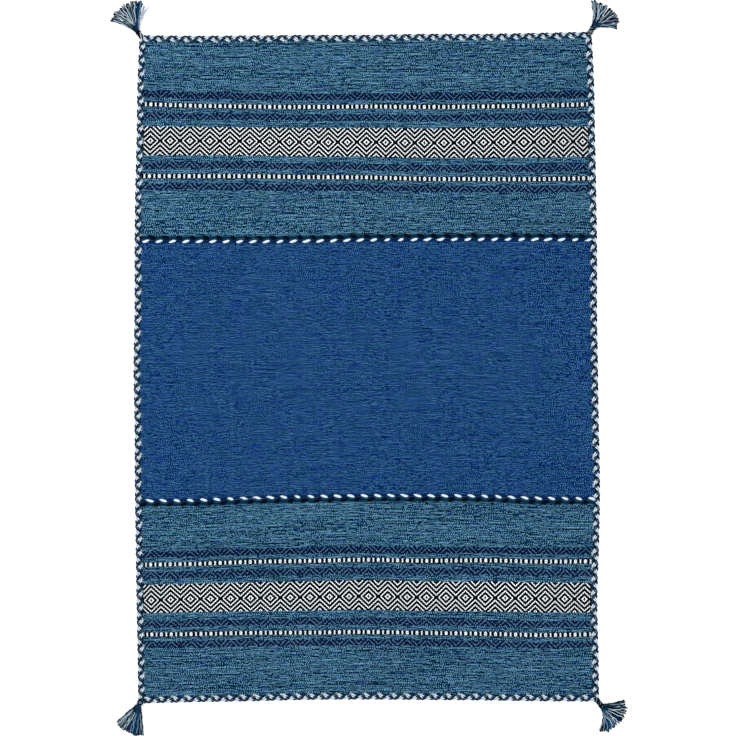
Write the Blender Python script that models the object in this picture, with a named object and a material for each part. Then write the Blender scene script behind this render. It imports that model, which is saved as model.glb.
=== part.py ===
"""Kilim rug, laid out flat: three flat-woven panels joined by two plaited seams, edged by four
plaits, with a knot and a tassel at each corner.

Metres, +Z up. +X runs across the rug and +Y along it, towards the end called the head. The rug
lies on z = 0, and the origin is on its underside, at the middle of the centre panel.
"""

import math

import bmesh
import bpy
import numpy as np

# Thickness and widths
CLOTH = 0.004  # thickness of the woven panels
EDGE_WIDTH = 0.022  # width of the plait round the outside
SEAM_WIDTH = 0.026  # width of the plait over each seam, which is worked a little looser
PLAIT_HEIGHT = 0.009
GAP = 0.0004  # between neighbouring pieces

# Spacing of the stations along every edge, which is one turn of the plait
TURN = 0.0475

# The rug is woven and sewn by hand, so no edge is quite straight. Each table is read by a smooth
# curve through its rows.
# Half widths of the rug, from its middle out to the outside of the side plaits, along its length.
SIDES = np.array(
    [
        (-1.16, 0.789, 0.805),
        (-1.00, 0.790, 0.803),
        (-0.80, 0.794, 0.799),
        (-0.60, 0.797, 0.805),
        (-0.40, 0.800, 0.808),
        (-0.20, 0.802, 0.804),
        (0.00, 0.805, 0.801),
        (0.20, 0.801, 0.798),
        (0.40, 0.801, 0.798),
        (0.60, 0.799, 0.795),
        (0.80, 0.794, 0.791),
        (1.00, 0.793, 0.787),
        (1.16, 0.785, 0.779),
    ],
    dtype=[("along", float), ("left", float), ("right", float)],
)

# The outsides of the two end plaits and the middles of the two seams, across its width.
ENDS_AND_SEAMS = np.array(
    [
        (-0.80, -1.161, -0.467, 0.4435, 1.150),
        (-0.60, -1.156, -0.4645, 0.443, 1.148),
        (-0.40, -1.153, -0.457, 0.4425, 1.149),
        (-0.20, -1.148, -0.452, 0.444, 1.151),
        (0.00, -1.147, -0.449, 0.448, 1.151),
        (0.20, -1.1485, -0.449, 0.4495, 1.1545),
        (0.40, -1.150, -0.4505, 0.450, 1.1545),
        (0.60, -1.153, -0.458, 0.450, 1.158),
        (0.80, -1.154, -0.459, 0.448, 1.162),
    ],
    dtype=[
        ("across", float),
        ("foot_end", float),
        ("foot_seam", float),
        ("head_seam", float),
        ("head_end", float),
    ],
)

# Where each tassel's skirt leaves its knot, and the first and last angle of its spread, which is
# measured from +X towards +Y.
TASSELS = (
    # corner, root_x, root_y, first_angle, last_angle
    ("head_left", -0.791, 1.163, 66, 161),
    ("head_right", 0.7865, 1.180, -8, 91),
    ("foot_left", -0.788, -1.170, 215, 281),
    ("foot_right", 0.814, -1.170, -91, 4),
)

# How far the ends of the yarns reach from the root, lock by lock, from the first angle to the last.
LOCK_REACH = {
    "head_left": (0.090, 0.098, 0.103, 0.103, 0.100, 0.100, 0.093),
    "head_right": (0.084, 0.089, 0.089, 0.086, 0.080, 0.087, 0.082),
    "foot_left": (0.093, 0.096, 0.098, 0.098, 0.101, 0.102, 0.100),
    "foot_right": (0.082, 0.090, 0.084, 0.084, 0.090, 0.089, 0.082),
}
NOTCH = 0.9  # how far the cloth of a skirt reaches between two locks, as a share of their reach

NECK_WIDTH = 0.015  # across a skirt, where it leaves its knot
SKIRT_BULGE = 0.008  # how far the sides of a skirt stand out from straight lines

# Sections of a corner knot, from inside the corner to the skirt.
KNOT = np.array(
    [
        (0.00, 0.014, 0.008),
        (0.18, 0.0195, 0.0115),
        (0.45, 0.019, 0.013),
        (0.75, 0.0165, 0.0125),
        (1.00, 0.015, 0.011),
    ],
    dtype=[("share", float), ("width", float), ("height", float)],
)
KNOT_START = 0.006  # how far inside the middle of its corner a knot begins

# Sections of a skirt, from its knot to the ends of its yarns.
SKIRT = np.array(
    [
        (0.00, 0.011, 0.90),
        (0.15, 0.0105, 0.75),
        (0.40, 0.009, 0.55),
        (0.70, 0.007, 0.50),
        (1.00, 0.005, 0.60),
    ],
    dtype=[("share", float), ("height", float), ("edge", float)],
)
CROWN_EDGE = 0.4  # height of a plait or knot at its sides, as a share of its height in the middle

TEAL = (0.032, 0.110, 0.185)
ROYAL = (0.011, 0.060, 0.175)
PLAIT_BLUE = (0.120, 0.165, 0.240)
TASSEL_BLUE = (0.090, 0.150, 0.225)

# Each panel lies between two of those lines, and each inset runs from its line to the panel,
# towards the middle of the rug.
IN_END, OFF_SEAM = EDGE_WIDTH + GAP, SEAM_WIDTH / 2 + GAP
PANELS = (
    # panel, lower line, inset, upper line, inset, colour
    ("head_panel", "head_seam", -OFF_SEAM, "head_end", IN_END, TEAL),
    ("centre_panel", "foot_seam", OFF_SEAM, "head_seam", OFF_SEAM, ROYAL),
    ("foot_panel", "foot_end", IN_END, "foot_seam", -OFF_SEAM, TEAL),
)


def read(table, column, at):
    """The value of a table's column at a place along its first column."""
    places, values = table[table.dtype.names[0]], table[column]
    slopes = np.gradient(values, places)
    row = int(np.clip(np.searchsorted(places, at) - 1, 0, len(places) - 2))
    span = places[row + 1] - places[row]
    t = (at - places[row]) / span
    rise = values[row + 1] - values[row]
    start, finish = slopes[row] * span, slopes[row + 1] * span
    square, cube = 3 * rise - 2 * start - finish, start + finish - 2 * rise
    return values[row] + start * t + square * t**2 + cube * t**3


def side(column, along, inset):
    """The x of a line that runs a set distance inside the left or right edge."""
    half = read(SIDES, column, along) - inset
    return -half if column == "left" else half


def end(column, across, inset=0.0):
    """The y of a line that runs a set distance off an end or a seam, towards the middle."""
    y = read(ENDS_AND_SEAMS, column, across)
    return y - inset * math.copysign(1, y)


def mix(first, last, share):
    return first + (last - first) * share


def crown(share_across):
    """Height across a plait or a knot, as a share of its full height."""
    return CROWN_EDGE + (1 - CROWN_EDGE) * math.sin(math.pi * share_across)


def material(name, colour):
    made = bpy.data.materials.new(name)
    made.use_nodes = True
    shader = made.node_tree.nodes["Principled BSDF"]
    shader.inputs["Base Color"].default_value = (*colour, 1)
    shader.inputs["Roughness"].default_value = 0.9
    shader.inputs["Metallic"].default_value = 0.0
    return made


def lay(name, columns, rows, place, height, colour, origin=(0, 0), turn=0.0):
    """A solid that lies on z = 0. Both functions take a share across it and a share along it: place
    gives x and y about the object's origin, and height gives the top."""
    bm = bmesh.new()
    bmesh.ops.create_grid(bm, x_segments=columns, y_segments=rows, size=0.5)
    for vertex in bm.verts:
        share_across, share_along = vertex.co.x + 0.5, vertex.co.y + 0.5
        x, y = place(share_across, share_along)
        vertex.co = (x, y, height(share_across, share_along))
    made = bmesh.ops.extrude_face_region(bm, geom=bm.faces[:], use_keep_orig=True)
    for item in made["geom"]:
        if isinstance(item, bmesh.types.BMVert):
            item.co.z = 0
    bmesh.ops.recalc_face_normals(bm, faces=bm.faces[:])
    mesh = bpy.data.meshes.new(name)
    bm.to_mesh(mesh)
    bm.free()
    mesh.materials.append(material(name, colour))
    piece = bpy.data.objects.new(name, mesh)
    piece.location = (*origin, 0)
    piece.rotation_euler.z = turn
    piece.parent = rug
    bpy.context.scene.collection.objects.link(piece)


def steps(length):
    return max(2, round(length / TURN))


def lay_panel(name, lower, upper, colour):
    """A woven panel between two lines across the rug, which are functions of x."""
    origin_y = (lower(0) + upper(0)) / 2
    inset = EDGE_WIDTH + GAP

    def place(share_across, share_along):
        x, y = 0.0, origin_y
        for _ in range(4):
            x = mix(side("left", y, inset), side("right", y, inset), share_across)
            y = mix(lower(x), upper(x), share_along)
        return x, y - origin_y

    width = side("right", origin_y, inset) - side("left", origin_y, inset)
    length = upper(0) - lower(0)
    lay(name, steps(width), steps(length), place, lambda *_: CLOTH, colour, (0, origin_y))


def lay_plait_along(name, column):
    """A side plait, from the inside of one end plait to the inside of the other."""
    ends = [end(c, side(column, 0, EDGE_WIDTH), EDGE_WIDTH + GAP) for c in ("foot_end", "head_end")]
    middle = side(column, 0, EDGE_WIDTH / 2)

    def place(share_across, share_along):
        y = mix(*ends, share_along)
        across = mix(-EDGE_WIDTH / 2, EDGE_WIDTH / 2, share_across)
        return side(column, y, EDGE_WIDTH / 2) + across - middle, y

    rows = steps(ends[1] - ends[0])
    lay(name, 4, rows, place, lambda u, v: PLAIT_HEIGHT * crown(u), PLAIT_BLUE, (middle, 0))


def lay_plait_across(name, column, width):
    """A seam or end plait, between the insides of the two side plaits."""
    inset = width / 2 if column.endswith("_end") else 0.0
    middle = end(column, 0, inset)

    def place(share_across, share_along):
        off = mix(width / 2, -width / 2, share_across)
        x, y = 0.0, middle
        for _ in range(4):
            x = mix(*(side(c, y, EDGE_WIDTH + GAP) for c in ("left", "right")), share_along)
            y = end(column, x, inset) + off
        return x, y - middle

    rows = steps(2 * side("right", middle, EDGE_WIDTH))
    lay(name, 4, rows, place, lambda u, v: PLAIT_HEIGHT * crown(u), PLAIT_BLUE, (0, middle))


def lay_knot(corner, root_x, root_y, first_angle, last_angle):
    """The knot that gathers two plaits into a tassel. It points along its own +Y, and its end is
    turned to face the skirt."""
    rug_end, rug_side = corner.split("_")
    corner_x = side(rug_side, end(rug_end + "_end", 0), EDGE_WIDTH / 2)
    corner_y = end(rug_end + "_end", corner_x, EDGE_WIDTH / 2)
    turn = math.atan2(root_y - corner_y, root_x - corner_x) - math.pi / 2
    reach = math.hypot(root_x - corner_x, root_y - corner_y) - GAP
    bend = math.remainder(skirt_turn(first_angle, last_angle) - turn, math.tau)

    def place(share_across, share_along):
        off = read(KNOT, "width", share_along) * (share_across - 0.5)
        here = bend * share_along
        along = mix(-KNOT_START, reach, share_along)
        return off * math.cos(here), along + off * math.sin(here)

    def height(share_across, share_along):
        return read(KNOT, "height", share_along) * crown(share_across)

    lay("knot_" + corner, 4, 6, place, height, PLAIT_BLUE, (corner_x, corner_y), turn)


def skirt_turn(first_angle, last_angle):
    return math.radians((first_angle + last_angle) / 2 - 90)


def lay_tassel(corner, root_x, root_y, first_angle, last_angle):
    """The skirt of a tassel, spread flat in a fan of locks. It points along its own +Y."""
    turn = skirt_turn(first_angle, last_angle)
    spread = math.radians(last_angle - first_angle)
    locks = LOCK_REACH[corner]
    places = len(locks) * 2 - 1

    def place(share_across, share_along):
        angle = (share_across - 0.5) * spread
        at = round(share_across * (places - 1))
        reach = (locks[at // 2] + locks[(at + 1) // 2]) / 2
        if at % 2:
            reach *= NOTCH
        start_x = NECK_WIDTH * (0.5 - share_across)
        bulge = SKIRT_BULGE * (1 - 2 * share_across) * math.sin(math.pi * share_along)
        x = mix(start_x, -reach * math.sin(angle), share_along) + bulge
        return x, mix(0, reach * math.cos(angle), share_along)

    def height(share_across, share_along):
        edge = read(SKIRT, "edge", share_along)
        fall = edge + (1 - edge) * math.sin(math.pi * share_across)
        return read(SKIRT, "height", share_along) * fall

    lay("tassel_" + corner, places - 1, 5, place, height, TASSEL_BLUE, (root_x, root_y), turn)


for old in list(bpy.data.objects):
    bpy.data.objects.remove(old, do_unlink=True)

rug = bpy.data.objects.new("rug", None)
bpy.context.scene.collection.objects.link(rug)

for panel, lower, lower_inset, upper, upper_inset, colour in PANELS:
    lay_panel(
        panel,
        lambda x, line=lower, inset=lower_inset: end(line, x, inset),
        lambda x, line=upper, inset=upper_inset: end(line, x, inset),
        colour,
    )
for seam in ("head_seam", "foot_seam"):
    lay_plait_across(seam + "_plait", seam, SEAM_WIDTH)
for rug_end in ("head", "foot"):
    lay_plait_across(rug_end + "_edge_plait", rug_end + "_end", EDGE_WIDTH)
for rug_side in ("left", "right"):
    lay_plait_along(rug_side + "_edge_plait", rug_side)
for corner, root_x, root_y, first_angle, last_angle in TASSELS:
    lay_knot(corner, root_x, root_y, first_angle, last_angle)
    lay_tassel(corner, root_x, root_y, first_angle, last_angle)
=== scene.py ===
"""The looks of the kilim rug: its weave and woven pattern, its plaits, seams, knots and tassels.

Metres, +Z up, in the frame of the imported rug: +X runs across it and +Y along it towards the head.
"""

import bisect
import functools
import math
import random

import bmesh
import bpy
import numpy as np
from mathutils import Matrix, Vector, noise


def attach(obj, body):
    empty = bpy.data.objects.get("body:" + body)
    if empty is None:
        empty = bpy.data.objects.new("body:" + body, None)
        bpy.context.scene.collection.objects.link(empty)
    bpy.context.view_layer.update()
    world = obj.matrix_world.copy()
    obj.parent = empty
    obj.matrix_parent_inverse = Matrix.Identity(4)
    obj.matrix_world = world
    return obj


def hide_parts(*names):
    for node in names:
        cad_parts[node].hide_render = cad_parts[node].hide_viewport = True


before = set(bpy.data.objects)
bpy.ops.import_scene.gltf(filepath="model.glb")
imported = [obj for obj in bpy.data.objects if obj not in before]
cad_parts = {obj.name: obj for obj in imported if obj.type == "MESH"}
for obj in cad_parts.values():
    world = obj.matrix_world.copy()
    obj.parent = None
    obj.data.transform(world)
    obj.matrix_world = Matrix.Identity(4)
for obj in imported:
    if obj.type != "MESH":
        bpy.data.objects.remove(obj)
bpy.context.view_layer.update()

# -------- the rug's sizes, as packed

CLOTH = 0.004  # thickness of the woven panels
EDGE_WIDTH = 0.022  # width of the plait round the outside
SEAM_WIDTH = 0.026  # width of the pair of cords over each seam
GAP = 0.0004  # between neighbouring solids

# Half widths of the rug, from its middle out to the outside of the side plaits, along its length.
ALONG = (-1.16, -1.0, -0.8, -0.6, -0.4, -0.2, 0.0, 0.2, 0.4, 0.6, 0.8, 1.0, 1.16)
SIDES = {
    "left": (.788, .790, .794, .797, .800, .801, .8045, .801, .801, .799, .794, .7905, .7835),
    "right": (.805, .803, .799, .805, .808, .804, .801, .798, .798, .795, .791, .787, .779),
}

# The outsides of the end plaits, the middles of the seams, and the woven lines that cross the end
# panels: the middle of each row of diamonds and of the two bead stripes beside it.
ACROSS = (-0.8, -0.6, -0.4, -0.2, 0.0, 0.2, 0.4, 0.6, 0.8)
LINES = {
    "head_end": (1.150, 1.148, 1.149, 1.151, 1.151, 1.1545, 1.1545, 1.158, 1.162),
    "head_outer_beads": (.9121, .9061, .9031, .9016, .9031, .9016, .9031, .9061, .9121),
    "head_diamonds": (.785, .7845, .783, .780, .780, .7775, .779, .7805, .783),
    "head_inner_beads": (.6626, .6626, .6621, .6591, .6581, .6531, .6521, .6521, .6561),
    "head_seam": (.4435, .443, .4425, .444, .448, .4495, .450, .450, .448),
    "foot_seam": (-.467, -.4645, -.457, -.452, -.449, -.449, -.4505, -.458, -.459),
    "foot_inner_beads": (-.6816, -.6786, -.6716, -.6681, -.6641, -.6676, -.6661, -.6701, -.6696),
    "foot_diamonds": (-.8065, -.800, -.797, -.7935, -.7905, -.794, -.7955, -.7985, -.801),
    "foot_outer_beads": (-.9231, -.9211, -.9171, -.9161, -.9136, -.9171, -.9196, -.9246, -.9216),
    "foot_end": (-1.161, -1.156, -1.153, -1.148, -1.147, -1.1485, -1.150, -1.153, -1.154),
}
# How far the rows of diamonds stray sideways from an even spacing.
DRIFT = {
    "head": (0, .0015, .004, .0052, 0, -.0035, -.0034, .001, 0),
    "centre": (0, 0, 0, 0, 0, 0, 0, 0, 0),
    "foot": (-.006, -.0035, 0, .0015, 0, -.0034, -.0045, -.001, -.003),
}

# Where each tassel's skirt leaves its knot, and the first and last angle of its spread.
TASSELS = {
    "head_left": (-0.791, 1.163, 65, 161),
    "head_right": (0.7865, 1.180, -8, 97),
    "foot_left": (-0.788, -1.170, 215, 281),
    "foot_right": (0.814, -1.170, -97, 17),
}
# The furthest that each lock's yarns reach from there, from the first angle to the last.
LOCK_REACH = {
    "head_left": (.098, .108, .110, .108, .105, .106, .102),
    "head_right": (.084, .091, .092, .090, .087, .088, .093),
    "foot_left": (.098, .099, .100, .100, .103, .105, .110),
    "foot_right": (.092, .094, .088, .088, .091, .090, .084),
}

# -------- the cloth

WARP = 0.0034  # from one warp to the next
CELL = 0.00322  # height of the place where one weft shows over a warp
DIAMOND = 20  # warps from one diamond to the next
RING = 5  # warps, and cells, from one line of a diamond to the next
RING_BLACK = 1.88  # half of a black line
# How far the diamonds reach below and above their middle.
DIAMOND_REACH = {"head": (0.0515, 0.0498), "foot": (0.0465, 0.0532)}
BEADS_OFF = 0.1235  # from the middle of the diamonds to the middle of a bead stripe
BEAD_HALF = 0.0064
NAVY_BANDS = ((0.0750, 0.0975), (0.1470, 0.1695))  # from the middle of the diamonds
TUCK = 0.006  # how far a panel reaches under the plaits
SELVEDGE = 0.0022  # its thickness there
END_BLACK = 0.0085  # width of the black warps at each end of the diamonds, part under the plait
RIM = 0.012  # how far in from its rims a panel is held down
WAVE, PUCKER = 0.0007, 0.0004  # heights of its waves, and of the puckers near its rims
BEAD_RISE, DIAMOND_RISE = 0.0013, 0.0004  # how far the pattern stands up from the cloth
DIAMOND_MIDDLE = {"head": 0.001, "centre": 0.0, "foot": 0.008}  # x of the middle diamond

# -------- the plaits and cords

EDGE_MIDDLE = 0.0104  # from the outside of a plait to its middle
PLAIT_REACH = 0.0056  # from the middle of a plait to the middle of a strand, at its widest
PLAIT_RISE = 0.0021
PLAIT_MIDDLE = 0.0042  # height of its middle
YARN = 0.0015  # radius
YARNS_OFF = (-0.0041, -0.0022, 0.0022, 0.0041)  # of a strand's yarns from its middle
STEPS_A_TURN = 12
GATHER_ROWS = 12  # rows over which a plait gathers into its knot
GATHERED = 0.45  # its width there, as a share
KNOT_IN = 0.013  # how far it runs into the knot
MARK_REACH = 0.30  # half the length of a mark on a seam's cord, as a share of a turn

# The strand order along the plait, where one of its white lobes lies, and one turn's length.
PLAITS = {
    "left": (("white", "black", "navy"), -0.0035, 0.04735),
    "foot": (("white", "black", "navy"), 0.0203, 0.0473),
    "right": (("white", "navy", "black"), 0.0054, 0.0478),
    "head": (("white", "black", "navy"), -0.0240, 0.0475),
}
# The dyes of a strand's four yarns.
STRANDS = {
    "white": ("white", "white", "white", "white"),
    "black": ("teal", "black", "black", "black"),
    "navy": ("navy", "navy", "blue", "navy"),
}
# The threads that hold a plait to the cloth beside a lobe: where each leaves it, and its lean.
STITCHES = ((-0.0110, -0.0040), (-0.0075, -0.0045), (-0.0030, -0.0045), (0.0052, -0.0035))
STITCH_YARN = 0.0009  # radius
# How far from the plait's middle line, and how high, such a thread starts and ends.
STITCH_REACH, STITCH_HEIGHTS = (0.0085, 0.0150), (CLOTH + 0.0024, CLOTH + 0.0008)
# Where one white mark lies on each seam, and one turn's length.
SEAMS = {"head": (0.0265, 0.0464), "foot": (0.0400, 0.0463)}


def dye(red, green, blue):
    """A colour on a 0 to 255 screen scale as the linear values that a shader takes."""
    shares = [c / 255 for c in (red, green, blue)]
    return tuple(s / 12.92 if s < 0.04045 else ((s + 0.055) / 1.055) ** 2.4 for s in shares)


# Each yarn's colour in its hollows, darkened there as painted shade, and its dye on its crowns.
DYES = {
    "white": ((168, 188, 202), (246, 252, 255)),
    "pale": ((110, 112, 140), (205, 206, 222)),
    "light": ((84, 118, 138), (190, 212, 224)),
    "blue": ((0, 40, 84), (36, 106, 158)),
    "navy": ((0, 10, 34), (20, 56, 98)),
    "royal": ((0, 26, 70), (22, 70, 120)),
    "petrol": ((0, 36, 60), (32, 86, 114)),
    "teal": ((6, 42, 54), (44, 104, 122)),
    "purple": ((22, 24, 56), (78, 80, 128)),
    "black": ((0, 3, 8), (10, 28, 40)),
}

LIGHTS = ("white", "pale", "light")

# The strands of each lock of a tassel, from the first angle to the last.
LOCKS = {
    "head_left": (
        "pale light pale pale light",
        "navy light blue navy petrol navy",
        "petrol white navy black light black",
        "teal light black teal white black",
        "purple white black navy teal white black",
        "black light teal white black light black",
        "black light petrol white black teal light",
    ),
    "head_right": (
        "teal light petrol black light teal",
        "purple navy purple light navy black",
        "black pale black white purple black",
        "teal black white navy black petrol",
        "blue teal white blue black light",
        "petrol white navy petrol black white",
        "navy light petrol white navy light",
    ),
    "foot_left": (
        "navy light black white black light",
        "teal light black light teal black",
        "teal white petrol black teal light",
        "navy black blue purple navy light",
        "blue navy light blue petrol navy",
        "petrol blue light navy blue black",
        "black light navy purple light black",
    ),
    "foot_right": (
        "light black teal light black",
        "teal blue light blue teal blue",
        "blue white blue navy light petrol",
        "navy white blue black navy petrol",
        "black white black navy white black",
        "black light navy white black petrol",
        "teal black light black petrol black",
    ),
}


class Curve:
    """A smooth curve through a table's rows, read at any place along it."""

    def __init__(self, places, values):
        self.places = places
        self.values = values
        self.slopes = [float(s) for s in np.gradient(values, places)]

    def __call__(self, at):
        row = min(max(bisect.bisect_right(self.places, at) - 1, 0), len(self.places) - 2)
        span = self.places[row + 1] - self.places[row]
        t = (at - self.places[row]) / span
        rise = self.values[row + 1] - self.values[row]
        start, finish = self.slopes[row] * span, self.slopes[row + 1] * span
        square, cube = 3 * rise - 2 * start - finish, start + finish - 2 * rise
        return self.values[row] + start * t + square * t**2 + cube * t**3


SIDE = {name: Curve(ALONG, values) for name, values in SIDES.items()}
LINE = {name: Curve(ACROSS, values) for name, values in LINES.items()}


def mix(first, last, share):
    return first + (last - first) * share


def smooth(share):
    share = min(max(share, 0.0), 1.0)
    return share * share * (3 - 2 * share)


def left_of(way):
    """The flat direction a quarter turn to the left of another."""
    return Vector((-way.y, way.x))


def folded(value, period):
    """The distance from value to the nearest multiple of period."""
    return abs((value / period + 0.5) % 1 - 0.5) * period


# -------- meshes


def link_new(name, data):
    made = bpy.data.objects.new(name, data)
    bpy.context.scene.collection.objects.link(made)
    return made


def finish_mesh(name, bm, materials):
    """An object in the scene that holds a mesh."""
    mesh = bpy.data.meshes.new(name)
    bm.to_mesh(mesh)
    bm.free()
    for material in materials:
        mesh.materials.append(material)
    return link_new(name, mesh)


def finish_piece(name, bm, materials, slot, *nodes, ride="root"):
    """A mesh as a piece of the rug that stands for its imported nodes."""
    piece = finish_mesh(name, bm, materials)
    piece.data.shade_smooth()
    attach(piece, ride)
    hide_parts(*nodes)
    return piece


def add_yarn(bm, points, radius, material=0, sides=6):
    """A closed yarn along points, which are a place each. Radius is a number, or one for each
    point; the yarn narrows to nothing at both ends. Its map runs once round it, and in metres
    along it."""
    count = len(points)
    radii = [radius] * count if isinstance(radius, float) else list(radius)
    points = [points[0], *points, points[-1]]
    radii = [0.0, *radii, 0.0]
    made = bmesh.ops.create_grid(bm, x_segments=sides, y_segments=count + 1, size=0.5)["verts"]
    uv = bm.loops.layers.uv.verify()
    reach = [0.0]
    for before, after in zip(points, points[1:]):
        reach.append(reach[-1] + (after - before).length)
    frames = []
    for n in range(count + 2):
        before, after = points[max(n - 2, 0)], points[min(n + 2, count + 1)]
        forward = (after - before).normalized()
        across = forward.cross(Vector((0, 0, 1)))
        if across.length < 1e-4:
            across = Vector((1, 0, 0))
        across.normalize()
        frames.append((across, across.cross(forward)))
    faces = {face for vertex in made for face in vertex.link_faces}
    for face in faces:
        face.material_index = material
        for loop in face.loops:
            share, along = loop.vert.co.x + 0.5, loop.vert.co.y + 0.5
            loop[uv].uv = (share, reach[round(along * (count + 1))])
    for vertex in made:
        angle = math.tau * (vertex.co.x + 0.5)
        n = round((vertex.co.y + 0.5) * (count + 1))
        across, up = frames[n]
        vertex.co = points[n] + radii[n] * (math.cos(angle) * across + math.sin(angle) * up)
    bmesh.ops.remove_doubles(bm, verts=made, dist=1e-6)


# -------- shader nodes


def put(tree, socket, value):
    """Sets a socket to a number or colour, or links another socket to it."""
    value = value.socket if isinstance(value, Field) else value
    if isinstance(value, bpy.types.NodeSocket):
        tree.links.new(value, socket)
    elif value is not None:
        wide = hasattr(socket.default_value, "__len__") and len(socket.default_value) == 4
        socket.default_value = (*value, 1) if wide and len(value) == 3 else value


def add_node(tree, kind, inputs=None, **settings):
    """A shader node with its settings made and its named or numbered inputs filled."""
    made = tree.nodes.new("ShaderNode" + kind)
    for name, value in settings.items():
        setattr(made, name, value)
    for name, value in (inputs or {}).items():
        put(tree, made.inputs[name], value)
    return made


class Field:
    """A value that changes over a surface. Sums on it make Math nodes in its tree."""

    def __init__(self, socket):
        self.socket = socket
        self.tree = socket.id_data

    def maths(self, operation, *others):
        inputs = dict(enumerate((self, *others)))
        return Field(add_node(self.tree, "Math", inputs, operation=operation).outputs[0])

    __add__ = functools.partialmethod(maths, "ADD")
    __sub__ = functools.partialmethod(maths, "SUBTRACT")
    __mul__ = functools.partialmethod(maths, "MULTIPLY")
    __truediv__ = functools.partialmethod(maths, "DIVIDE")
    __mod__ = functools.partialmethod(maths, "FLOORED_MODULO")
    __abs__ = functools.partialmethod(maths, "ABSOLUTE")
    __lt__ = functools.partialmethod(maths, "LESS_THAN")
    floor = functools.partialmethod(maths, "FLOOR")
    sine = functools.partialmethod(maths, "SINE")

    def squared(self):
        return self * self

    def folded(self, period):
        """The distance to the nearest multiple of period."""
        return abs((self / period + 0.5) % 1.0 - 0.5) * period

    def ramp(self, low, high, to_low=0.0, to_high=1.0):
        """Runs smoothly from to_low at low to to_high at high."""
        inputs = {0: self, 1: low, 2: high, 3: to_low, 4: to_high}
        made = add_node(self.tree, "MapRange", inputs, interpolation_type="SMOOTHSTEP")
        return Field(made.outputs[0])

    def within(self, low, high, blur):
        """1 between low and high, 0 outside them."""
        rising = self.ramp(low - blur, low + blur)
        return rising * self.ramp(high - blur, high + blur, 1.0, 0.0)


def blend_colours(tree, share, first, last, mode="MIX"):
    made = tree.nodes.new("ShaderNodeMix")
    made.data_type = "RGBA"
    made.blend_type = mode
    for place, value in ((0, share), (6, first), (7, last)):
        put(tree, made.inputs[place], value)
    return made.outputs[2]


def colour_steps(tree, share, stops):
    """A colour ramp through (place, colour) stops."""
    made = add_node(tree, "ValToRGB", {0: share})
    elements = made.color_ramp.elements
    while len(elements) < len(stops):
        elements.new(0.5)
    for element, (place, colour) in zip(elements, stops):
        element.position = place
        element.color = (*colour, 1)
    return made.outputs[0]


def grain(tree, x, y, seed):
    """Cloudy noise from about -1 to 1, read at x, y."""
    place = add_node(tree, "CombineXYZ", {0: x, 1: y, 2: seed}).outputs[0]
    inputs = {"Vector": place, "Scale": 1.0, "Detail": 1.0}
    made = add_node(tree, "TexNoise", inputs, noise_dimensions="3D")
    return Field(made.outputs["Fac"]).ramp(0.2, 0.8, -1.0, 1.0)


def new_group(name, inputs, outputs):
    """An empty node group, its input fields by name and its output node."""
    group = bpy.data.node_groups.new(name, "ShaderNodeTree")
    for names, way in ((inputs, "INPUT"), (outputs, "OUTPUT")):
        for label, kind in names:
            group.interface.new_socket(label, in_out=way, socket_type="NodeSocket" + kind)
    entry = group.nodes.new("NodeGroupInput")
    leave = group.nodes.new("NodeGroupOutput")
    return group, {label: Field(entry.outputs[label]) for label, _ in inputs}, leave


def floats(*names):
    return [(name, "Float") for name in names]


def fill(leave, **values):
    """Gives a group's output node its values by name."""
    for label, value in values.items():
        put(leave.id_data, leave.inputs[label], value)


def split(tree, place):
    """The first two parts of a vector as fields."""
    parts = add_node(tree, "SeparateXYZ", {0: place})
    return Field(parts.outputs[0]), Field(parts.outputs[1])


def place_group(tree, group, **inputs):
    """A group placed in a material, and its outputs as fields by name."""
    made = tree.nodes.new("ShaderNodeGroup")
    made.node_tree = group
    for label, value in inputs.items():
        put(tree, made.inputs[label.replace("_", " ").capitalize()], value)
    return {socket.name: Field(socket) for socket in made.outputs}


def lattice_group():
    """Which warp and which weft shows at a place of the cloth, and how that weft bulges there.

    The map is counted in warps and in cells. A weft passes over every other warp, so the cells of
    odd warps lie half a cell lower."""
    group, given, leave = new_group(
        "plain weave",
        [("Map", "Vector")],
        floats("Warp", "Row", "Cell", "Bulge"),
    )
    across, along = split(group, given["Map"])
    warp = (across + 0.5).floor()
    odd = warp % 2.0
    lifted = along + odd * 0.5
    cell = lifted.floor()
    row = cell + 0.5 - odd * 0.5
    sideways, upwards = across - warp, lifted - cell - 0.5
    bulge = (sideways.squared() * -3.4 + 1.0) * (upwards.squared() * -3.0 + 1.0)
    fill(leave, Warp=warp, Row=row, Cell=cell, Bulge=bulge)
    return group


def shade_group():
    """How much lighter or darker than its dye each stretch of weft is, and how its hue strays."""
    group, given, leave = new_group(
        "weft shades",
        floats("Warp", "Cell", "Seed", "Streaks", "Specks"),
        floats("Shade", "Hue"),
    )
    warp, cell, seed = given["Warp"], given["Cell"], given["Seed"]
    # Side changes sign from warp to warp. Wefts lie in pairs, and turn changes sign within one.
    side = (warp % 2.0) * -2.0 + 1.0
    turn = (cell % 2.0) * -2.0 + 1.0
    pair = (cell / 2.0).floor()
    single = grain(group, warp * 0.83, pair * 6.13, seed + 5.0) * turn
    crossed = grain(group, warp * 0.15, cell * 5.17, seed + 17.0) * side
    checked = grain(group, warp * 0.15, pair * 5.17, seed + 29.0) * side * turn
    short = grain(group, warp * 0.31, pair * 7.31, seed) * turn
    streak = grain(group, warp * 0.08, pair * 3.77, seed + 11.0) * turn
    long = grain(group, warp * 0.018, pair * 2.93, seed + 23.0) * turn
    batch = grain(group, warp * 0.006, cell * 0.11, seed + 37.0)
    even = short * 0.4 + streak * 0.75 + long * 0.85 + batch * 0.15
    specks = single * 0.8 + crossed * 1.5 + checked * 1.2
    shade = even * given["Streaks"] + specks * given["Specks"]
    hue = grain(group, warp * 0.05, cell * 0.61, seed + 51.0)
    fill(leave, Shade=shade, Hue=hue)
    return group


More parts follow.
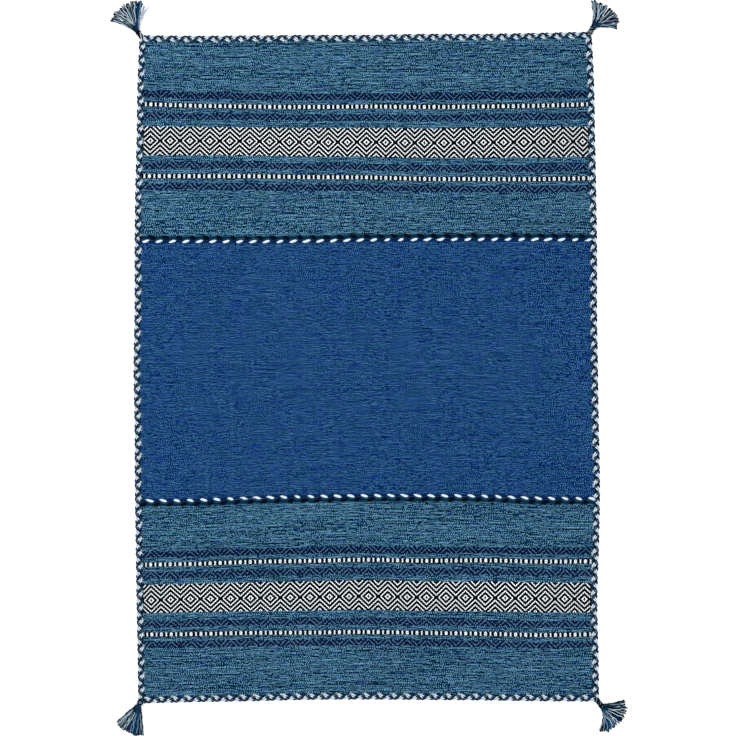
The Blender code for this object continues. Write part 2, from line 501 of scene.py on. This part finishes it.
def fibre_group():
    """Fine hairs and slubs on any yarn, read in metres."""
    group, given, leave = new_group("fibres", [("Place", "Vector")], floats("Fibre"))
    inputs = {"Vector": given["Place"], "Scale": 1400.0, "Detail": 2.0}
    fine = Field(add_node(group, "TexNoise", inputs).outputs["Fac"])
    fill(leave, Fibre=fine)
    return group


def diamonds_group():
    """The woven pattern beside and between the bead stripes, as masks."""
    places = ("Across", "Along", "Warp", "Row", "Broken")
    inputs = floats(*places, "Left", "Right", "Low", "High")
    masks = ("White", "Black", "Navy", "Line", "Spot")
    group, given, leave = new_group("woven pattern", inputs, floats(*masks))
    across, along, row = given["Across"], given["Along"], given["Row"]
    from_middle = given["Warp"].folded(float(DIAMOND))
    diamond_band = (row < given["High"]) * (given["Low"] < row)
    # The lines step from cell to cell, with the steps' corners worn a little.
    stepped = from_middle + abs(row)
    slanted = across.folded(float(DIAMOND)) + abs(along)
    ring = (stepped * 0.65 + slanted * 0.35).folded(float(RING))
    smaller_dot = (stepped < RING / 2) * 0.05
    past_ends = (across < given["Left"]) + (given["Right"] < across)
    ring_black = (ring + smaller_dot < RING_BLACK).maths("MAXIMUM", past_ends)
    # Bead stripes: wide beads over each diamond and between diamonds, narrow ones halfway.
    stripe_row = abs(along) - BEADS_OFF / CELL
    above = along.maths("SIGN") * stripe_row
    half = BEAD_HALF / CELL
    stripe = abs(stripe_row) < half + 0.45
    from_wide = across.folded(DIAMOND / 2)
    from_narrow = (from_wide * -1.0) + DIAMOND / 4
    dome = from_wide.squared() * -0.4
    wide_top = above < dome + half + 0.15
    wide_foot = (above * -1.0) < from_wide.squared() * -0.2 + half
    wide = (from_wide < 1.4) * wide_top * wide_foot
    waist = (above / half).squared() * 0.25 + 0.7
    narrow = (from_narrow < waist) * (abs(above) < half)
    bead = wide.maths("MAXIMUM", narrow) * stripe
    spot = from_wide.squared() * 0.9 + (above * 0.55).squared()
    # Navy bands: light lines climb from each diamond's middle in both directions.
    navy = None
    light_line = None
    for low, high in NAVY_BANDS:
        for way in (1, -1):
            top = max(low * way, high * way) / CELL
            inside = row.within(min(low * way, high * way) / CELL, top, 0.05)
            drop = (row * -1.0) + top
            line = (from_middle - drop - 4.4).folded(float(RING)) < 0.95
            navy = inside if navy is None else navy + inside
            light_line = line * inside if light_line is None else light_line + line * inside
    fill(
        leave,
        White=(diamond_band * (ring_black * -1.0 + 1.0)) + bead,
        Black=diamond_band * ring_black + stripe * (bead * -1.0 + 1.0),
        Navy=navy,
        Line=light_line * given["Broken"].ramp(-0.8, -0.4),
        Spot=spot.ramp(0.0, 0.8, 1.0, 0.4) * stripe,
    )
    return group


def twist_group():
    """The turns of a plied yarn: its map runs once round it, and in metres along it."""
    group, given, leave = new_group(
        "plied yarn", [("Map", "Vector"), *floats("Lay")], floats("Bulge", "Tone")
    )
    around, along = split(group, given["Map"])
    turn = around * 2.0 + along / given["Lay"]
    bulge = abs((turn * math.pi).sine())
    tone = grain(group, around * 2.0, along * 90.0, 5.0)
    fill(leave, Bulge=bulge, Tone=tone)
    return group


YARN_LAY = 0.009  # length of one turn of a plied yarn
CLOTH_BUMP, YARN_BUMP = 0.0009, 0.0006  # depths of the bumps
LINE_SHARE = 0.72  # how much of the dark bands' light lines shows
LATTICE = lattice_group()
SHADES = shade_group()
FIBRES = fibre_group()
PATTERN = diamonds_group()
TWIST = twist_group()


def new_material(name):
    """A matt cloth material, its tree and its shader."""
    material = bpy.data.materials.new(name)
    material.use_nodes = True
    tree = material.node_tree
    shader = tree.nodes["Principled BSDF"]
    shader.inputs["Roughness"].default_value = 0.92
    shader.inputs["Metallic"].default_value = 0.0
    shader.inputs["Specular IOR Level"].default_value = 0.01
    shader.inputs["Sheen Weight"].default_value = 0.005
    shader.inputs["Sheen Roughness"].default_value = 0.45
    return material, tree, shader


def fibres_on(tree):
    place = add_node(tree, "TexCoord").outputs["Object"]
    return place_group(tree, FIBRES, place=place)["Fibre"]


def roughen(tree, shader, height, distance):
    """Bumps a shader by a height field from 0 to 1, of that real depth."""
    inputs = {"Strength": 1.0, "Distance": distance, "Height": height}
    put(tree, shader.inputs["Normal"], add_node(tree, "Bump", inputs).outputs[0])


def weave_material(name, dark, middle, bright, cool, warm, streaks, specks, seed, limits=None):
    """Plain weave in one dye with light and dark stretches. A panel with the woven pattern also
    has the limits of its diamonds: left, right, low and high, in warps and cells."""
    material, tree, shader = new_material(name)
    cloth_map = add_node(tree, "UVMap", uv_map="weave").outputs[0]
    across, along = split(tree, cloth_map)
    cell = place_group(tree, LATTICE, map=cloth_map)
    shades = place_group(
        tree, SHADES,
        warp=cell["Warp"], cell=cell["Cell"], seed=seed, streaks=streaks, specks=specks,
    )
    shade, hue = shades["Shade"], shades["Hue"]
    light = shade * 0.5 + 0.5
    ground = colour_steps(tree, light, ((0.2, dark), (0.56, middle), (0.9, bright)))
    ground = blend_colours(tree, hue.ramp(0.1, 0.9, 0.0, 0.5), ground, cool)
    ground = blend_colours(tree, hue.ramp(-0.1, -0.9, 0.0, 0.45), ground, warm)
    if limits:
        broken = grain(tree, cell["Warp"] * 0.3, cell["Cell"] * 1.7, 71.0)
        masks = place_group(
            tree, PATTERN,
            across=across, along=along, warp=cell["Warp"], row=cell["Row"], broken=broken,
            **limits,
        )
        navy = colour_steps(tree, light, ((0.1, dye(0, 4, 28)), (0.9, dye(0, 24, 60))))
        line = colour_steps(tree, light, ((0.1, dye(44, 78, 114)), (0.9, dye(96, 132, 162))))
        black = colour_steps(tree, light, ((0.1, dye(0, 1, 3)), (0.9, dye(10, 16, 24))))
        white = colour_steps(tree, light, ((0.1, dye(224, 236, 242)), (0.6, dye(252, 254, 254))))
        spot = masks["Spot"] * 0.5 + masks["Spot"] * broken * 0.5
        white = blend_colours(tree, spot, white, dye(104, 138, 156))
        ground = blend_colours(tree, masks["Navy"], ground, navy)
        ground = blend_colours(tree, masks["Line"] * LINE_SHARE, ground, line)
        ground = blend_colours(tree, masks["Black"], ground, black)
        ground = blend_colours(tree, masks["White"], ground, white)
    fibre = fibres_on(tree)
    # Painted shade: the colour is darkened towards the hollows between the cells, where shade
    # falls, and varied at random by the fibres.
    painted_hollow_shade = cell["Bulge"].ramp(0.0, 0.75, 0.62, 1.0)
    painted_shade_and_fibres = painted_hollow_shade * fibre.ramp(0.3, 0.7, 0.9, 1.08)
    tone = add_node(tree, "CombineColor", {0: painted_shade_and_fibres, 1: painted_shade_and_fibres, 2: painted_shade_and_fibres}).outputs[0]
    put(tree, shader.inputs["Base Color"], blend_colours(tree, 1.0, ground, tone, "MULTIPLY"))
    roughen(tree, shader, cell["Bulge"] + fibre * 0.35, CLOTH_BUMP)
    return material


def yarn_material(name):
    """A plied yarn in one dye."""
    painted_hollow_shade, crown = (dye(*colour) for colour in DYES[name])
    material, tree, shader = new_material(name + "_yarn")
    yarn_map = add_node(tree, "UVMap", uv_map="UVMap").outputs[0]
    turns = place_group(tree, TWIST, map=yarn_map, lay=YARN_LAY)
    fibre = fibres_on(tree)
    # Painted shade: the colour runs from the darkened hollow colour in the grooves between the
    # plies to the crown dye, varied at random by tone and fibres.
    light = turns["Bulge"] * 0.55 + turns["Tone"] * 0.16 + fibre * 0.3 + 0.08
    colour = colour_steps(tree, light, ((0.05, painted_hollow_shade), (0.75, crown)))
    put(tree, shader.inputs["Base Color"], colour)
    roughen(tree, shader, turns["Bulge"] + fibre * 0.3, YARN_BUMP)
    return material


YARNS = list(DYES)
yarn_materials = [yarn_material(name) for name in YARNS]

# -------- panels


def bead_relief(across, along):
    """How far the floats of a bead stripe stand up, as a share, at a place in warps and cells."""
    off = (abs(along) - BEADS_OFF / CELL) / (BEAD_HALF / CELL)
    if abs(off) > 1.3:
        return 0.0
    wide = folded(across, DIAMOND / 2) / 2.1
    narrow = (DIAMOND / 4 - folded(across, DIAMOND / 2)) / 1.4
    inside = min(wide, narrow)
    return math.sqrt(max(0.0, 1 - inside**2)) * math.sqrt(max(0.0, 1 - off**2))


def diamond_relief(across, along, part):
    low, high = DIAMOND_REACH[part]
    if not -low < along * CELL < high:
        return 0.0
    return smooth(folded(folded(across, DIAMOND) + abs(along), RING) / RING_BLACK - 0.5)


def panel_ends(part, middle_y):
    """The x of a panel's left and right ends from its middle diamond, along its middle line."""
    inset = EDGE_WIDTH + GAP - TUCK
    left = -SIDE["left"](middle_y) + inset - DIAMOND_MIDDLE[part]
    return left, SIDE["right"](middle_y) - inset - DIAMOND_MIDDLE[part]


def diamond_limits(part):
    """Where a panel's diamonds end, in warps and cells. Their outermost warps are all black."""
    left, right = panel_ends(part, LINE[part + "_diamonds"](0))
    low, high = DIAMOND_REACH[part]
    return {
        "left": (left + END_BLACK) / WARP, "right": (right - END_BLACK) / WARP,
        "low": -low / CELL, "high": high / CELL,
    }


def lay_panel(part, lower, upper, beads, material):
    """A woven panel. Lower and upper are (line, inset) pairs; beads are the woven lines between
    them with the middle line first, if it has a pattern."""
    name = part + "_panel"
    middle_x = DIAMOND_MIDDLE[part]
    drift = Curve(ACROSS, DRIFT[part])
    ends = [lambda x, a=a, inset=inset: LINE[a](x) + inset for a, inset in (lower, upper)]
    middle_y = LINE[beads[0]](0) if beads else (ends[0](0) + ends[1](0)) / 2
    low, high = ends[0](0) - TUCK - middle_y, ends[1](0) + TUCK - middle_y
    inset = EDGE_WIDTH + GAP - TUCK
    left, right = panel_ends(part, middle_y)
    columns, rows = round((right - left) / (2 * WARP)), round((high - low) / (2 * CELL))

    bm = bmesh.new()
    bmesh.ops.create_grid(bm, x_segments=columns, y_segments=rows, size=0.5)
    for vertex in bm.verts:
        vertex.co.x = mix(left, right, vertex.co.x + 0.5)
        vertex.co.y = mix(low, high, vertex.co.y + 0.5)
    under = set(bm.verts)
    bmesh.ops.extrude_face_region(bm, geom=bm.faces[:], use_keep_orig=True)
    top = [vertex for vertex in bm.verts if vertex not in under]
    for vertex in top:
        vertex.co.z = CLOTH
    bmesh.ops.recalc_face_normals(bm, faces=bm.faces[:])
    if beads:
        for near, cuts in ((BEADS_OFF, 2), (0.0, 1)):
            reach = BEAD_HALF + 0.005 if near else max(DIAMOND_REACH[part])
            edges = {
                edge
                for face in bm.faces
                if face.normal.z > 0.5
                and abs(abs(face.calc_center_median().y) - near) < reach
                for edge in face.edges
            }
            bmesh.ops.subdivide_edges(bm, edges=list(edges), cuts=cuts, use_grid_fill=True)

    uv = bm.loops.layers.uv.new("weave")
    for face in bm.faces:
        for loop in face.loops:
            loop[uv].uv = (loop.vert.co.x / WARP, loop.vert.co.y / CELL)

    stations = {}

    def lines_at(x):
        key = round(x, 6)
        if key not in stations:
            places = [low, *([-BEADS_OFF, 0.0, BEADS_OFF] if beads else [0.0]), high]
            here = [ends[0](x) - TUCK, ends[1](x) + TUCK]
            between = [LINE[bead](x) for bead in (beads[1], beads[0], beads[2])] if beads else [
                sum(here) / 2
            ]
            stations[key] = Curve(places, [here[0], *between, here[1]])
        return stations[key]

    for vertex in bm.verts:
        across, along = vertex.co.x, vertex.co.y
        y = lines_at(middle_x + across)(along)
        if across < 0:
            edge, whole = -SIDE["left"](y) + inset - middle_x, left
        else:
            edge, whole = SIDE["right"](y) - inset - middle_x, right
        x = middle_x + across * edge / whole + drift(across) * (1 - (across / whole) ** 24)
        z = 0.0
        if vertex.co.z > CLOTH / 2:
            rim = min(across - left, right - across, along - low, high - along)
            held = smooth(rim / RIM)
            wave = noise.noise(Vector((x * 4, y * 9, 3.0))) * WAVE
            pucker = math.sin(x * 95 + y * 70) * PUCKER * math.exp(-rim / 0.03)
            relief = 0.0
            if beads:
                spot = across / WARP, along / CELL
                relief = bead_relief(*spot) * BEAD_RISE
                relief += diamond_relief(*spot, part) * DIAMOND_RISE
            z = mix(SELVEDGE, CLOTH + wave + pucker + relief, held)
        vertex.co = (x, y, z)
    piece = finish_piece(name + "_weave", bm, [material], materials_slot(part), name)
    return piece


def materials_slot(part):
    return "royal_weave" if part == "centre" else "teal_weave"


# -------- plaits


def corner_place(corner):
    """The middle of a corner, and the way its knot points."""
    rug_end, rug_side = corner.split("_")
    sign = -1 if rug_side == "left" else 1
    head = 1 if rug_end == "head" else -1
    x = sign * (SIDE[rug_side](LINE[rug_end + "_end"](0)) - EDGE_WIDTH / 2)
    y = LINE[rug_end + "_end"](x) - head * EDGE_WIDTH / 2
    root = Vector(TASSELS[corner][:2])
    return Vector((x, y)), (root - Vector((x, y))).normalized()


def plait_route(way):
    """The middle line of a side's plait in its direction of travel, as (travelled, place, share)
    rows: share is 1 along the edge and falls where the plait gathers into a knot."""
    corners = {
        "left": ("head_left", "foot_left"),
        "foot": ("foot_left", "foot_right"),
        "right": ("foot_right", "head_right"),
        "head": ("head_right", "head_left"),
    }[way]
    (first, first_way), (last, last_way) = (corner_place(c) for c in corners)
    sideways = way in ("foot", "head")
    forward = 1 if way in ("foot", "right") else -1

    def on_edge(travel):
        at = travel * forward
        if sideways:
            inwards = -1 if way == "head" else 1
            return Vector((at, LINE[way + "_end"](at) + inwards * EDGE_MIDDLE))
        out = -1 if way == "left" else 1
        return Vector((out * (SIDE[way](at) - EDGE_MIDDLE), at))

    axis = 0 if sideways else 1
    start, stop = first[axis] * forward, last[axis] * forward
    bend = EDGE_WIDTH * 0.9
    count = round((stop - start - 2 * bend) / 0.002)
    body = [on_edge(mix(start + bend, stop - bend, n / count)) for n in range(count + 1)]
    lead = curve_through(first + first_way * KNOT_IN, first, body[0], GATHER_ROWS)
    tail = curve_through(body[-1], last, last + last_way * KNOT_IN, GATHER_ROWS)
    places = lead[:-1] + body + tail[1:]
    gather = [mix(GATHERED, 1, smooth(n / GATHER_ROWS)) for n in range(GATHER_ROWS)]
    spread = [mix(1, GATHERED, smooth((n + 1) / GATHER_ROWS)) for n in range(GATHER_ROWS)]
    shares = gather + [1.0] * len(body) + spread
    travelled = [0.0]
    for before, after in zip(places, places[1:]):
        travelled.append(travelled[-1] + (after - before).length)
    shift = start + bend - travelled[len(lead) - 1]
    return [(t + shift, p, s) for t, p, s in zip(travelled, places, shares)]


def curve_through(start, control, stop, count):
    """Points on a quadratic curve that starts and stops at two places and bends towards a third."""
    return [
        mix(mix(start, control, n / count), mix(control, stop, n / count), n / count)
        for n in range(count + 1)
    ]


def resample(route, step):
    """The route's rows at even steps, each with its direction."""
    travelled = [row[0] for row in route]
    count = round((travelled[-1] - travelled[0]) / step)
    rows = []
    for n in range(count + 1):
        at = mix(travelled[0], travelled[-1], n / count)
        k = min(max(bisect.bisect_right(travelled, at) - 1, 0), len(route) - 2)
        share = (at - travelled[k]) / (travelled[k + 1] - travelled[k])
        place = mix(route[k][1], route[k + 1][1], share)
        near, far = max(k - 2, 0), min(k + 3, len(route) - 1)
        way = (route[far][1] - route[near][1]).normalized()
        rows.append((at, place, way, mix(route[k][2], route[k + 1][2], share)))
    return rows


def lay_plait(way):
    """A flat plait of three strands, four yarns to a strand."""
    dyes, white_at, turn = PLAITS[way]
    rows = resample(plait_route(way), turn / STEPS_A_TURN)
    bm = bmesh.new()
    draw = random.Random(way)
    for k, strand in enumerate(dyes):
        for off, name in zip(YARNS_OFF, STRANDS[strand]):
            own = draw.uniform(0, 9)
            points, radii = [], []
            for travelled, place, direction, share in rows:
                t = math.pi / 2 + math.tau * ((travelled - white_at) / turn + k / 3)
                sway = PLAIT_REACH * (math.sin(t) - math.sin(3 * t) / 9) * share
                climb = math.cos(t) - math.cos(3 * t) / 3
                slant = math.atan2(PLAIT_REACH * climb * math.tau / turn, 1)
                over = -math.sin(2 * t)
                rise = PLAIT_RISE * over * (1.5 - 0.5 * over**2)
                wander = noise.noise(Vector((travelled * 60, own, k))) * 0.0005
                outwards = -left_of(direction)
                spread = off * mix(0.6, 1, share)
                flat = place + outwards * (sway + spread * math.cos(slant))
                flat -= direction * spread * math.sin(slant)
                crown = -0.0006 * (off / YARNS_OFF[-1]) ** 2
                z = PLAIT_MIDDLE + rise + crown + wander + 0.002 * (1 - share)
                points.append(Vector((*flat, max(z, YARN + 0.0002))))
                radii.append(YARN * (1 + noise.noise(Vector((own, travelled * 40, 1))) * 0.12))
            add_yarn(bm, points, radii, YARNS.index(name))
    lay_stitches(bm, rows, white_at, turn)
    name = way + "_edge_plait"
    return finish_piece(name + "_yarns", bm, yarn_materials, "plait_yarn", name)


def lay_stitches(bm, rows, white_at, turn):
    """Short white, light and teal threads from a plait to the cloth, beside each white lobe on
    its inner side."""
    first = math.ceil((rows[0][0] - white_at) / turn)
    last = math.floor((rows[-1][0] - white_at) / turn)
    for lobe in range(first, last):
        at = white_at + (lobe + 0.5) * turn
        _, place, direction, share = min(rows, key=lambda row: abs(row[0] - at))
        if share < 1:
            continue
        inwards = left_of(direction)
        for off, lean in STITCHES:
            own = noise.noise(Vector((lobe * 1.7, off * 900, 2.0))) * 0.003
            name = ("light", "teal", "white")[int(abs(own) * 9e4) % 3]
            points = []
            for t in (0.0, 0.35, 0.7, 1.0):
                flat = place + direction * (off + own - lean * t) + inwards * mix(*STITCH_REACH, t)
                points.append(Vector((*flat, mix(*STITCH_HEIGHTS, t))))
            add_yarn(bm, points, STITCH_YARN, YARNS.index(name), sides=4)


def lay_seam(part):
    """Two cords side by side over a seam: on each, one strand comes up at nearly even places
    between the strands that fill the rest."""
    white_at, turn = SEAMS[part]
    outwards = 1 if part == "head" else -1
    line = LINE[part + "_seam"]
    sway, spread, yarn, steps = 0.0024, 0.0045, 0.0021, 24
    left = -SIDE["left"](line(0)) + EDGE_WIDTH * 0.75
    right = SIDE["right"](line(0)) - EDGE_WIDTH * 0.75
    count = round((right - left) / turn * steps)
    bm = bmesh.new()
    cords = (
        (True, "white", ("royal", "navy", "royal"), 0.0026),
        (False, "black", ("petrol", "navy", "teal"), 0.0048),
    )
    for inner, marks, fillings, wide in cords:
        middle = outwards * SEAM_WIDTH / 4 * (-1 if inner else 1)
        hand = outwards * (-1 if inner else 1)
        for names in ((marks,) * 3, fillings):
            for fan, name in zip((-1, 0, 1), names):
                points, radii = [], []
                for n in range(count + 1):
                    x = mix(left, right, n / count)
                    own = noise.noise(Vector((x * 9, middle * 400, fan * 3.0)))
                    phase = (x - white_at) / turn + (0.0 if inner else 0.5) + own * 0.03
                    off_mark = (phase + 0.5) % 1 - 0.5
                    reach = MARK_REACH * (1 + own * 0.6)
                    up = math.cos(math.pi / 2 * min(1.0, abs(off_mark) / reach))
                    lean = -hand * sway * math.sin(math.tau * off_mark)
                    if name == marks:
                        off = lean + fan * wide * up
                        crown = 0.0 if fan else 0.0008
                        z = mix(0.0022, 0.0066, smooth(up * 1.5)) + crown * up
                        radii.append(yarn * mix(0.35, 1, smooth(up * 1.3)))
                    else:
                        off = lean * 0.3 + fan * spread + own * 0.0006
                        z = 0.0052 - 0.0016 * up - (0.0006 if fan else 0.0)
                        radii.append(yarn)
                    points.append(Vector((x, line(x) + middle + off, z)))
                add_yarn(bm, points, radii, YARNS.index(name))
    name = part + "_seam_plait"
    return finish_piece(name + "_cords", bm, yarn_materials, "plait_yarn", name)


# -------- knots and tassels

NECKS = {
    "head_left": ("black", "white", "black", "white", "black", "white", "teal", "black"),
    "head_right": ("black", "white", "black", "black", "light", "black", "white", "black"),
    "foot_left": ("navy", "black", "white", "teal", "navy", "blue", "black", "white"),
    "foot_right": ("black", "light", "navy", "black", "white", "black", "teal", "black"),
}
NECK_TURNS = {"head_left": 0.4, "head_right": 1.5, "foot_left": 0.7, "foot_right": 1.0}
# A loop of yarn left in a knot: its place along the neck, and each round's dye and radius.
LOOPS = {"foot_left": (0.3, (("black", 0.0092), ("navy", 0.0066), ("light", 0.0028)))}
LOOP_YARN, TIE_YARN = 0.0015, 0.0017  # radii
TIES = (0.8, 0.92)  # places along the neck of the two yarns that tie it
KNOT_STRAND = 0.0023  # the room for each strand in a knot, as a radius
NECK_STEPS, TIE_STEPS, SKIRT_STEPS = 20, 24, 24
PLY_LAY = 0.03  # length of one turn of a tassel's strand
NECK_PLACES = (0, 0.18, 0.45, 0.75, 1.0)
NECK_WIDTH = Curve(NECK_PLACES, (0.014, 0.0195, 0.019, 0.0165, 0.015))
NECK_HEIGHT = Curve(NECK_PLACES, (0.008, 0.0115, 0.013, 0.0125, 0.011))
# Least and greatest radius of a tassel's yarns, and their heights on the way out from the knot.
THICKNESS = {"under": (0.0011, 0.0014), "dark": (0.0011, 0.0014), "light": (0.0010, 0.0013)}
LEVELS = {
    "under": Curve((0, 0.3, 0.6, 1), (0.0045, 0.0036, 0.0026, 0.0018)),
    "dark": Curve((0, 0.3, 0.6, 1), (0.0092, 0.0072, 0.0050, 0.0036)),
    "light": Curve((0, 0.3, 0.6, 1), (0.0045, 0.0068, 0.0070, 0.0044)),
}


def skirt_way(corner):
    first, last = TASSELS[corner][2:]
    middle = math.radians((first + last) / 2)
    return Vector((math.cos(middle), math.sin(middle)))


def lay_knot(corner):
    """The ends of two plaits, twisted together from the corner to the tassel, and tied."""
    start, way = corner_place(corner)
    root = Vector(TASSELS[corner][:2])
    reach = (root - start).length
    turn_to = skirt_way(corner)
    bm = bmesh.new()
    draw = random.Random(corner)

    def neck(share):
        """The middle of the neck, and the way it points."""
        heading = way.lerp(turn_to, smooth(share)).normalized()
        place = start + way * reach * share
        return place, heading

    for k, name in enumerate(NECKS[corner]):
        phase = math.tau * k / len(NECKS[corner]) + draw.uniform(-0.15, 0.15)
        for pair in (0,) if name in LIGHTS else (-1, 1):
            points, radii = [], []
            for n in range(NECK_STEPS + 1):
                share = mix(-0.2, 1.12, n / NECK_STEPS)
                place, heading = neck(share)
                across = left_of(heading)
                at = min(max(share, 0), 1)
                angle = phase + math.tau * NECK_TURNS[corner] * share + pair * 0.2
                wide = NECK_WIDTH(at) / 2 - KNOT_STRAND
                tall = NECK_HEIGHT(at) / 2 - KNOT_STRAND / 2
                flat = place + across * wide * math.cos(angle)
                z = NECK_HEIGHT(at) / 2 + 0.0006 + tall * math.sin(angle) * 0.75
                points.append(Vector((*flat, max(z, KNOT_STRAND * 0.75))))
                radii.append(KNOT_STRAND * (0.6 if name in LIGHTS else 0.78))
            add_yarn(bm, points, radii, YARNS.index(name), sides=7)
    if corner in LOOPS:
        share, rounds = LOOPS[corner]
        middle, _ = neck(share)
        for name, reach in rounds:
            points = []
            for n in range(NECK_STEPS + 1):
                angle = math.tau * n / NECK_STEPS
                z = NECK_HEIGHT(share) + 0.0012 + 0.0012 * math.sin(2 * angle)
                x, y = middle.x + reach * math.cos(angle), middle.y + reach * math.sin(angle)
                points.append(Vector((x, y, z)))
            add_yarn(bm, points, LOOP_YARN, YARNS.index(name), sides=7)
    for wrap, share in enumerate(TIES):
        place, heading = neck(share)
        across = left_of(heading)
        points = []
        for n in range(TIE_STEPS + 1):
            angle = math.tau * n / TIE_STEPS
            wide, tall = NECK_WIDTH(share) / 2 + 0.0006, NECK_HEIGHT(share) / 2 + 0.0004
            lean = (0.35 if wrap else -0.35) * wide * math.cos(angle)
            flat = place + across * wide * math.cos(angle) + heading * lean
            points.append(Vector((*flat, NECK_HEIGHT(share) / 2 + tall * math.sin(angle))))
        lift = max(0.0, 0.0019 - min(p.z for p in points))
        points = [p + Vector((0, 0, lift)) for p in points]
        add_yarn(bm, points, TIE_YARN, YARNS.index(NECKS[corner][0]), sides=7)
    name = "knot_" + corner
    return finish_piece(name + "_yarns", bm, yarn_materials, "tassel_yarn", name)


def lay_tassel(corner):
    """The loose ends of the yarns, fanned out in locks on the floor. A dark strand is two yarns
    twisted together. A light one is a single yarn, and comes up between them past the knot."""
    root_x, root_y, first, last = TASSELS[corner]
    root = Vector((root_x, root_y))
    axis = skirt_way(corner)
    across = left_of(axis)
    locks = LOCKS[corner]
    bm = bmesh.new()
    draw = random.Random(corner + " skirt")
    for k, lock in enumerate(locks):
        names = lock.split()
        dark = [name for name in names if name not in LIGHTS]
        strands = [
            (n + 0.5, name, "light" if name in LIGHTS else "dark") for n, name in enumerate(names)
        ]
        if dark:
            strands += [(n + 1.0, "black", "under") for n in range(len(names))]
        bend = draw.uniform(-0.005, 0.005)
        for place, name, level in strands:
            within = (place + draw.uniform(-0.3, 0.3)) / (len(names) + (level == "under"))
            share = (k + within) / len(locks)
            tip = 0.5 + (within - 0.5) * 0.88
            angle = math.radians(mix(first, last, (k + tip) / len(locks)))
            out = Vector((math.cos(angle), math.sin(angle)))
            beside = left_of(out)
            length = LOCK_REACH[corner][k] * draw.uniform(0.88, 1.0)
            sway = bend + draw.uniform(-0.003, 0.003)
            begin = root - axis * 0.006 + across * (share - 0.5) * 0.012
            middle = root + axis * length * 0.3 + across * (share - 0.5) * 0.022
            heights = LEVELS[level]
            own = draw.uniform(0, math.tau)
            thick = draw.uniform(*THICKNESS[level])
            for ply in range(1 if level == "light" else 2):
                points = []
                for step in range(SKIRT_STEPS + 1):
                    t = step / SKIRT_STEPS
                    flat = mix(mix(begin, middle, t), mix(middle, root + out * length, t), t)
                    curl = noise.noise(Vector((share * 90, t * 7, k))) * 0.005 * t
                    turn = own + math.pi * ply + math.tau * t * length / PLY_LAY
                    apart = 0.0012 * math.cos(turn) if level != "light" else 0.0
                    flat += beside * (sway * math.sin(math.pi * t) + curl + apart)
                    z = heights(t) + 0.0006 * math.sin(turn)
                    points.append(Vector((*flat, max(z, thick + 0.0002))))
                taper = 0.4 if level == "light" else 0.8
                shares = [step / SKIRT_STEPS for step in range(SKIRT_STEPS + 1)]
                radii = [thick * mix(taper, 1, smooth(t)) for t in shares]
                add_yarn(bm, points, radii, YARNS.index(name), sides=5)
    name = "tassel_" + corner
    return finish_piece(name + "_yarns", bm, yarn_materials, "tassel_yarn", name)


# -------- floor, light and camera

VIEW_MIDDLE = Vector((0.0062, -0.0010, 0.0))
VIEW_WIDTH = 2.5466


def lay_floor():
    """A pale, matt floor under the rug."""
    bm = bmesh.new()
    bmesh.ops.create_grid(bm, x_segments=1, y_segments=1, size=15.0)
    material, _, shader = new_material("pale_floor")
    shader.inputs["Base Color"].default_value = (0.96, 0.96, 0.96, 1)
    shader.inputs["Sheen Weight"].default_value = 0.0
    floor = finish_mesh("floor", bm, [material])


def hang_light(name, place, size, power):
    """A square soft light that faces the middle of the rug."""
    light = bpy.data.lights.new(name, "AREA")
    light.shape = "SQUARE"
    light.size = size
    light.energy = power
    lamp = link_new(name, light)
    lamp.location = place
    lamp.rotation_euler = (-Vector(place)).to_track_quat("-Z", "Y").to_euler()


def set_stage():
    scene = bpy.context.scene
    lay_floor()
    world = scene.world or bpy.data.worlds.new("studio")
    scene.world = world
    world.use_nodes = True
    background = world.node_tree.nodes["Background"]
    background.inputs["Color"].default_value = (1, 1, 1, 1)
    background.inputs["Strength"].default_value = 0.85
    hang_light("key", (-2.0, 1.8, 4.4), 2.5, 166.0)
    hang_light("fill", (2.4, -2.2, 4.0), 3.0, 76.0)
    lens = bpy.data.cameras.new("camera")
    lens.sensor_width = 36.0
    lens.lens = 100.0
    height = VIEW_WIDTH / 2 / (lens.sensor_width / 2 / lens.lens)
    lens.clip_end = 100.0
    camera = link_new("camera", lens)
    camera.location = VIEW_MIDDLE + Vector((0, 0, height))
    scene.camera = camera
    scene.view_settings.view_transform = "Standard"


# -------- making

set_stage()

teal = (dye(0, 4, 24), dye(0, 42, 72), dye(96, 148, 180), dye(4, 42, 110), dye(4, 72, 72))
head_weave, foot_weave = (
    weave_material(
        "teal_weave_" + part, *teal,
        streaks=1.15, specks=1.0, seed=seed, limits=diamond_limits(part),
    )
    for part, seed in (("head", 0.0), ("foot", 40.0))
)
royal_weave = weave_material(
    "royal_weave", dye(0, 8, 52), dye(0, 38, 88), dye(60, 112, 162),
    dye(14, 32, 122), dye(0, 60, 76), streaks=0.42, specks=1.1, seed=100.0,
)
in_end, off_seam = EDGE_WIDTH + GAP, SEAM_WIDTH / 2 + GAP
lay_panel(
    "head", ("head_seam", off_seam), ("head_end", -in_end),
    ("head_diamonds", "head_inner_beads", "head_outer_beads"), head_weave,
)
lay_panel("centre", ("foot_seam", off_seam), ("head_seam", -off_seam), (), royal_weave)
lay_panel(
    "foot", ("foot_end", in_end), ("foot_seam", -off_seam),
    ("foot_diamonds", "foot_outer_beads", "foot_inner_beads"), foot_weave,
)
for way in PLAITS:
    lay_plait(way)
for part in SEAMS:
    lay_seam(part)
for corner in TASSELS:
    lay_knot(corner)
    lay_tassel(corner)
